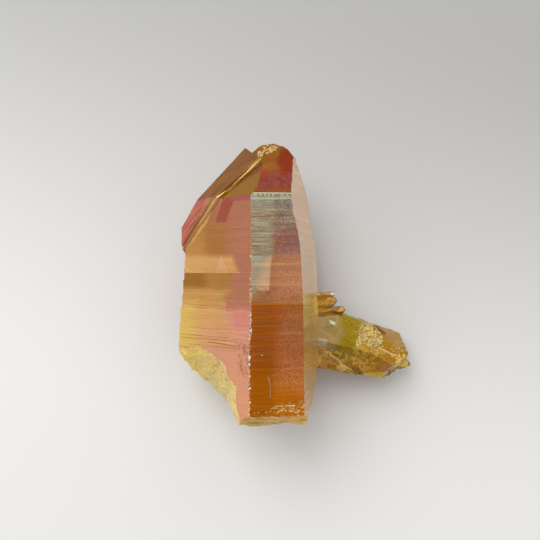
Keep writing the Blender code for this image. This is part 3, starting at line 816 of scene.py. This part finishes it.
# The shader: fine growth lines and grains that vary the tone, roughness, relief and the quartz itself
LINE_STRETCH = (0.35, 11.0, 0.35)
LINE_TONE = (0.93, 1.07)
LINE_RELIEF = 0.10
GRAIN_SCALE = 3.1
GRAIN_TONE = (0.90, 1.10)
MATT = (0.08, 0.17)
MATT_BROKEN = (0.20, 0.20, 0.20, 1)
GRIT_SCALE = 2.6
GRIT_RELIEF = 0.6
BUMP_STRENGTH = 0.5
BUMP_DEPTH = 0.00010
TRANSMISSION = 0.52
IOR = 1.544
FILM_GLOSS = (1.0, 0.64, 0.08, 1)
ABSORPTION = (0.96, 0.84, 0.55, 1)
ABSORPTION_DENSITY = 16.0


def linear(name):
    """A named colour as linear light."""
    light = []
    for part in COLOURS[name]:
        part /= 255
        light.append(part / 12.92 if part <= 0.04045 else ((part + 0.055) / 1.055) ** 2.4)
    return (*light, 1.0)


class Tree:
    """Short ways to add nodes to one node tree."""

    def __init__(self, tree):
        self.nodes = tree.nodes
        self.links = tree.links

    def add(self, kind, inputs=(), **settings):
        made = self.nodes.new(kind)
        for key, value in settings.items():
            setattr(made, key, value)
        for key, value in dict(inputs).items():
            if isinstance(value, bpy.types.NodeSocket):
                self.links.new(value, made.inputs[key])
            elif value is not None:
                made.inputs[key].default_value = value
        return made

    def calc(self, operation, a, b):
        return self.add("ShaderNodeMath", {0: a, 1: b}, operation=operation).outputs[0]

    def vector(self, operation, a, b, c=None):
        return self.add("ShaderNodeVectorMath", {0: a, 1: b, 2: c}, operation=operation).outputs[0]

    def scaled(self, vector, factor):
        made = self.add("ShaderNodeVectorMath", {0: vector, "Scale": factor}, operation="SCALE")
        return made.outputs[0]

    def dot(self, vector, other):
        made = self.add("ShaderNodeVectorMath", {0: vector, 1: other}, operation="DOT_PRODUCT")
        return made.outputs[1]

    def ramp(self, value, low, high, smooth=True, out_low=0.0, out_high=1.0):
        kind = "SMOOTHSTEP" if smooth else "LINEAR"
        made = self.add("ShaderNodeMapRange", {0: value, 1: low, 2: high, 3: out_low, 4: out_high},
                        interpolation_type=kind)
        return made.outputs[0]

    def mix(self, share, a, b):
        made = self.add("ShaderNodeMix", {0: share, 6: a, 7: b}, data_type="RGBA")
        return made.outputs[2]

    def stretched(self, vector, scale):
        return self.vector("MULTIPLY", vector, scale)

    def noise(self, vector, scale, detail=2.0, roughness=0.5):
        made = self.add("ShaderNodeTexNoise", {"Vector": vector, "Scale": scale, "Detail": detail,
                                               "Roughness": roughness})
        return made.outputs[0]

    def noise_colour(self, vector, scale):
        return self.add("ShaderNodeTexNoise", {"Vector": vector, "Scale": scale}).outputs[1]

    def attribute(self, name):
        return self.add("ShaderNodeAttribute", attribute_name=name).outputs["Fac"]


def inside(t, flat, corners, soft):
    """A mask that is 1 inside a convex outline and falls to 0 across its soft edge."""
    nearest = None
    for line in outline_lines(corners):
        gap = t.dot(flat, line)
        nearest = gap if nearest is None else t.calc("MINIMUM", nearest, gap)
    return t.ramp(nearest, -soft / 2, soft / 2)


def patterns(t, place):
    """The patterns that break the film up, each from 0 to 1."""
    turned = t.add("ShaderNodeMapping", {"Vector": place, "Rotation": (0, 0, SLANT)}).outputs[0]
    made = {}
    for name, (stretch, detail, low, high) in PATTERNS.items():
        vector = t.stretched(turned if name == "slanting" else place, stretch)
        made[name] = t.ramp(t.noise(vector, 1.0, detail, PATTERN_ROUGHNESS), low, high)
    bend = t.noise_colour(place, CRACK_BEND_SCALE)
    bent = t.vector("MULTIPLY_ADD", bend, Vector((1, 1, 1)) * CRACK_BEND, place)
    gaps = t.add("ShaderNodeTexVoronoi", {"Vector": bent, "Scale": CRACK_CELLS},
                 feature="DISTANCE_TO_EDGE").outputs[0]
    made["cracks"] = t.calc("MULTIPLY", t.ramp(gaps, 0.0, CRACK_WIDTH, True, 1.0, 0.0), made["grain"])
    return made


def film_colour(t, place, pattern):
    """The film's colour all over the cluster, with painted highlights, glints, reflection and shade in
    places.
    """
    shift = t.vector("MULTIPLY_ADD", t.noise_colour(place, WOBBLE_SCALE), WOBBLE, WOBBLE / -2)
    parts = t.add("ShaderNodeSeparateXYZ", {0: t.vector("ADD", place, shift)})
    flat = t.add("ShaderNodeCombineXYZ", {0: parts.outputs[0], 1: parts.outputs[1], 2: 1.0}).outputs[0]

    zones = t.noise(t.stretched(place, ZONE_STRETCH), 1.0, 3)
    hidden = t.add("ShaderNodeValToRGB", {0: zones})
    elements = hidden.color_ramp.elements
    while len(elements) < len(HIDDEN_ZONES):
        elements.new(0.5)
    for element, (name, at) in zip(elements, HIDDEN_ZONES):
        element.position = at
        element.color = linear(name)
    colour = hidden.outputs[0]
    for region, markings in MARKINGS.items():
        own = linear(markings[0][0])
        for name, strength, soft, texture, outline in markings[1:]:
            share = strength
            if outline:
                corners = [spot(px, py, region) for px, py in outline]
                for corner in corners:
                    corner.z = 0
                share = t.calc("MULTIPLY", inside(t, flat, corners, max(soft, SHARPEST)), strength)
            if texture != "plain":
                share = t.calc("MULTIPLY", pattern[texture], share)
            own = t.mix(share, own, linear(name))
        colour = t.mix(t.attribute(f"on_{region}"), colour, own)
    rough = t.mix(pattern["speckle"], linear("glitter gold"), linear("dark gold"))
    # Painted glints: white flecks on the fresh chips.
    rough = t.mix(pattern["flecks"], rough, linear("white"))
    lined = t.mix(pattern["fine stripes"], linear("cream"), linear("dark gold"))
    fresh = t.mix(t.ramp(parts.outputs[1], *FRESH_LINED), lined, rough)
    share = t.calc("MULTIPLY", t.ramp(t.attribute("chipped"), *FRESH_EDGE), FRESH_SHARE)
    return t.mix(share, colour, fresh)


def aura_quartz():
    """Clear quartz under a metal film: plain transmission, refraction and absorption."""
    material = bpy.data.materials.new("aura_quartz")
    material.use_nodes = True
    t = Tree(material.node_tree)
    shader = t.nodes["Principled BSDF"]
    out = t.nodes["Material Output"]
    where = t.add("ShaderNodeTexCoord").outputs["Object"]
    place = t.scaled(t.vector("SUBTRACT", where, AXIS), 1 / MM)
    pattern = patterns(t, place)
    colour = film_colour(t, place, pattern)
    fine = t.noise(t.stretched(place, LINE_STRETCH), 1.0, 2)
    grains = t.noise(place, GRAIN_SCALE, 2, 0.7)
    line_tone = t.ramp(fine, 0.3, 0.7, False, *LINE_TONE)
    grain_tone = t.ramp(grains, 0.3, 0.7, False, *GRAIN_TONE)
    colour = t.scaled(colour, t.calc("MULTIPLY", line_tone, grain_tone))
    t.links.new(colour, shader.inputs["Base Color"])

    either = t.calc("MAXIMUM", t.attribute("on_broken"), t.attribute("on_glitter"))
    matt = t.ramp(pattern["mottle"], 0, 1, False, *MATT)
    t.links.new(t.mix(either, matt, MATT_BROKEN), shader.inputs["Roughness"])

    grit = t.add("ShaderNodeTexVoronoi", {"Vector": place, "Scale": GRIT_SCALE}).outputs["Distance"]
    relief = t.calc("MULTIPLY", t.calc("MULTIPLY", either, grit), GRIT_RELIEF)
    height = t.calc("ADD", relief, t.calc("MULTIPLY", fine, LINE_RELIEF))
    bump = t.add("ShaderNodeBump", {"Strength": BUMP_STRENGTH, "Distance": BUMP_DEPTH, "Height": height})
    t.links.new(bump.outputs[0], shader.inputs["Normal"])

    shader.inputs["Transmission Weight"].default_value = TRANSMISSION
    shader.inputs["IOR"].default_value = IOR
    shader.inputs["Specular Tint"].default_value = FILM_GLOSS
    inner = t.add("ShaderNodeVolumeAbsorption")
    inner.inputs["Color"].default_value = ABSORPTION
    inner.inputs["Density"].default_value = ABSORPTION_DENSITY
    t.links.new(inner.outputs[0], out.inputs["Volume"])
    return material


# ---------------------------------------------------------------- floor, light and camera

# The floor's colour carries a painted light falloff: darker towards the upper right, paler towards the
# lower left.
FLOOR_SIZE = 3.0
FLOOR_SLOPE = (-0.25, -1.0, 0)  # the way in which the floor's painted light falloff gets brighter
FLOOR_TURN = (-0.085, 0.05)  # where it starts and ends to, in metres along that way
FLOOR_PAINTED_SHADE = (0.312, 0.309, 0.302, 1)
FLOOR_PAINTED_LIGHT = (0.575, 0.571, 0.560, 1)

# The dome: colour, strength, the heights between which it darkens towards the top and towards the
# horizon with the share that is left, and the side that it is brighter on
DOME_COLOUR = (1.0, 0.995, 0.985, 1)
DOME_STRENGTH = 1.62
DOME_TOP = (0.55, 0.88)
DOME_TOP_SHARE = 0.40
DOME_LOW = (0.0, 0.40)
DOME_LOW_SHARE = 0.25
DOME_SIDE = (-0.30, 0.87, 0)
DOME_SIDE_TURN = (-0.85, 0.85)
DOME_SIDE_SHARES = (0.32, 1.68)

# The lamp above the upper left: place, size and power
KEY_PLACE = (-0.16, 0.26, 0.42)
KEY_SIZE = 0.30
KEY_POWER = 1.6

SENSOR = 36  # width of the camera's film in millimetres


def floor():
    """A pale floor whose colour carries a painted light falloff, a little brighter towards the lower left.
    """
    bm = bmesh.new()
    bmesh.ops.create_grid(bm, x_segments=1, y_segments=1, size=FLOOR_SIZE)
    mesh = bpy.data.meshes.new("floor")
    bm.to_mesh(mesh)
    bm.free()
    ground = bpy.data.objects.new("floor", mesh)
    bpy.context.scene.collection.objects.link(ground)
    material = bpy.data.materials.new("floor_paper")
    material.use_nodes = True
    t = Tree(material.node_tree)
    shader = t.nodes["Principled BSDF"]
    where = t.add("ShaderNodeTexCoord").outputs["Object"]
    share = t.ramp(t.dot(where, FLOOR_SLOPE), *FLOOR_TURN)
    t.links.new(t.mix(share, FLOOR_PAINTED_SHADE, FLOOR_PAINTED_LIGHT), shader.inputs["Base Color"])
    shader.inputs["Roughness"].default_value = 0.9
    shader.inputs["Specular IOR Level"].default_value = 0.2
    mesh.materials.append(material)


def surroundings():
    """A wide dome of light that is darker straight above, where the camera and its holder are."""
    world = bpy.data.worlds.new("dome")
    world.use_nodes = True
    bpy.context.scene.world = world
    t = Tree(world.node_tree)
    t.nodes.clear()
    direction = t.add("ShaderNodeTexCoord").outputs["Generated"]
    up = t.add("ShaderNodeSeparateXYZ", {0: direction}).outputs[2]
    top = t.ramp(up, *DOME_TOP, True, 1.0, DOME_TOP_SHARE)
    low = t.ramp(up, *DOME_LOW, True, DOME_LOW_SHARE, 1.0)
    side = t.ramp(t.dot(direction, DOME_SIDE), *DOME_SIDE_TURN, False, *DOME_SIDE_SHARES)
    strength = t.calc("MULTIPLY", t.calc("MULTIPLY", t.calc("MULTIPLY", top, low), side), DOME_STRENGTH)
    light = t.add("ShaderNodeBackground", {"Color": DOME_COLOUR, "Strength": strength})
    out = t.add("ShaderNodeOutputWorld")
    t.links.new(light.outputs[0], out.inputs[0])


def key_light():
    """A large square lamp that points at the cluster."""
    data = bpy.data.lights.new("key", "AREA")
    data.size = KEY_SIZE
    data.energy = KEY_POWER
    lamp = bpy.data.objects.new("key", data)
    bpy.context.scene.collection.objects.link(lamp)
    lamp.location = KEY_PLACE
    lamp.rotation_euler = (-Vector(KEY_PLACE)).to_track_quat("-Z", "Y").to_euler()


def camera():
    """The photograph's viewpoint, straight above the main crystal."""
    data = bpy.data.cameras.new("camera")
    data.sensor_width = SENSOR
    data.lens = FOCAL / (2 * MIDDLE) * SENSOR
    data.clip_start = 0.005
    made = bpy.data.objects.new("camera", data)
    bpy.context.scene.collection.objects.link(made)
    made.location = AXIS + EYE * MM
    bpy.context.scene.camera = made


piece = quartz_piece()
piece.data.materials.append(aura_quartz())
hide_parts("quartz_cluster")
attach(piece, "root")
floor()
surroundings()
key_light()
camera()
bpy.context.scene.view_settings.view_transform = "Standard"
